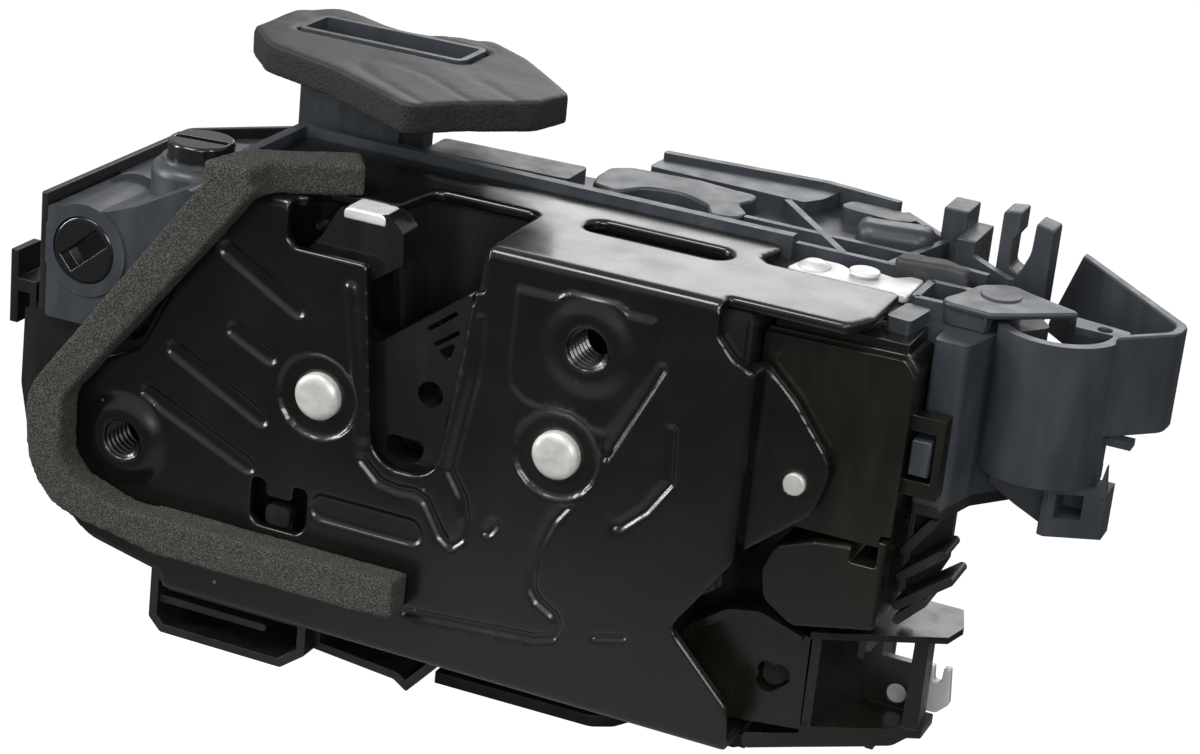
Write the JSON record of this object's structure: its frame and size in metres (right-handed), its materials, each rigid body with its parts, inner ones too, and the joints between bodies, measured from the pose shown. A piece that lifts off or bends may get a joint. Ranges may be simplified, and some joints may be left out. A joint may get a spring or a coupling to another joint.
{
  "type": "door latch actuator",
  "caption": "Side-door latch with steel plate, catch, pawl and striker mouth, and moulded housings holding its motor lock drive, rotors, connector and cable guide.",
  "frame": {"origin": "centre of the main M8 fixing hole, on the front face of the latch plate", "axes": "+X runs along the latch plate towards the cable guide, +Y points from the plate's face into the door, +Z points to the side where the striker mouth opens"},
  "size_m": [0.1986, 0.0751, 0.1028],
  "materials": {
    "black_coat": "gloss black coating on steel",
    "bare_steel": "bare steel, matt where peened",
    "spring_steel": "drawn wire",
    "zinc_steel": "bright plated sheet",
    "jacket_plastic": "smooth overmoulded plastic",
    "black_plastic": "satin moulded plastic",
    "grey_plastic": "satin blue-grey moulded plastic",
    "rotor_plastic": "gloss black plastic",
    "gear_plastic": "natural acetal",
    "motor_steel": "drawn steel can",
    "contact_metal": "tinned brass",
    "foam": "closed-cell foam, fine open pores on cut sides",
    "rubber": "moulded rubber"
  },
  "bodies": {
    "housing": {"latch_plate": "black_coat", "backing_plate": "zinc_steel", "catch_rivet": "bare_steel", "pawl_rivet": "bare_steel", "ear_rivet": "bare_steel", "catch_spring": "spring_steel", "pawl_spring": "spring_steel", "mechanism_box": "black_plastic", "striker_buffer": "rubber", "main_housing": "grey_plastic", "housing_cover": "black_plastic", "cover_screws": "zinc_steel", "motor_can": "motor_steel", "motor_cradle": "gear_plastic", "wheel_shaft": "bare_steel", "lock_lever_pin": "bare_steel", "lock_switch": "black_plastic", "left_housing": "grey_plastic", "left_wall": "black_plastic", "clip_tab": "black_plastic", "connector_tower": "grey_plastic", "connector_pins": "contact_metal", "connector_gasket": "foam", "seal_strip": "foam", "side_cover": "black_plastic", "latch_wedge": "grey_plastic", "dome_cover": "black_plastic", "lower_cover": "black_plastic", "frame_box": "black_plastic", "cable_fins": "black_plastic", "lock_housing": "black_plastic", "lock_back_cover": "black_plastic", "lower_skirt": "black_plastic", "drip_sill": "black_plastic", "cable_guide": "grey_plastic", "guard_band": "grey_plastic", "hood": "grey_plastic", "guide_tab": "grey_plastic", "slotted_bracket": "grey_plastic", "fork_clip": "grey_plastic", "lever_pin": "bare_steel", "rubber_stop": "rubber", "inner_lever_pin": "bare_steel"},
    "catch": {"catch_core": "bare_steel", "catch_jacket": "jacket_plastic"},
    "pawl": {"pawl_core": "bare_steel", "pawl_lever": "jacket_plastic"},
    "front_rotor": {"front_rotor": "rotor_plastic"},
    "top_rotor": {"top_rotor": "rotor_plastic"},
    "release_lever": {"release_lever": "zinc_steel"},
    "inner_lever": {"inner_lever": "zinc_steel"},
    "motor_worm": {"motor_worm": "bare_steel"},
    "worm_wheel": {"worm_wheel": "gear_plastic"},
    "lock_lever": {"lock_lever": "gear_plastic"}
  },
  "joints": [
    {"name": "catch_turn", "type": "hinge", "parent": "housing", "child": "catch", "pos_m": [-0.0478, 0, -0.0205], "axis": [0, 1, 0], "range_deg": [0, 66], "stiffness_Nm_per_rad": 0.02},
    {"name": "pawl_turn", "type": "hinge", "parent": "housing", "child": "pawl", "pos_m": [-0.0041, 0, -0.0199], "axis": [0, 1, 0], "range_deg": [0, 6.5]},
    {"name": "front_rotor_turn", "type": "hinge", "parent": "housing", "child": "front_rotor", "pos_m": [-0.0941, 0, -0.0051], "axis": [0, 1, 0], "range_deg": [0, 90]},
    {"name": "top_rotor_turn", "type": "hinge", "parent": "housing", "child": "top_rotor", "pos_m": [-0.0815, 0.0165, 0.0135], "axis": [0, 0, 1], "range_deg": [0, 90]},
    {"name": "release_lever_turn", "type": "hinge", "parent": "housing", "child": "release_lever", "pos_m": [0.0345, 0.0298, 0.0107], "axis": [0, 0, 1], "range_deg": [0, 4], "stiffness_Nm_per_rad": 0.01},
    {"name": "inner_lever_turn", "type": "hinge", "parent": "housing", "child": "inner_lever", "pos_m": [0.052, 0.025, -0.0562], "axis": [0, -1, 0], "range_deg": [0, 10], "stiffness_Nm_per_rad": 0.01},
    {"name": "wheel_spin", "type": "hinge", "parent": "housing", "child": "worm_wheel", "pos_m": [-0.008, 0.0378, -0.0055], "axis": [0, 0, 1], "continuous": true},
    {"name": "motor_spin", "type": "hinge", "parent": "housing", "child": "motor_worm", "pos_m": [-0.008, 0.05, -0.0055], "axis": [1, 0, 0], "continuous": true},
    {"name": "lock_lever_turn", "type": "hinge", "parent": "housing", "child": "lock_lever", "pos_m": [0.018, 0.04, -0.011], "axis": [0, 0, 1], "range_deg": [-6, 6]}
  ],
  "couplings": [
    {"joint": "motor_spin", "follows": "wheel_spin", "ratio": 30}
  ]
}
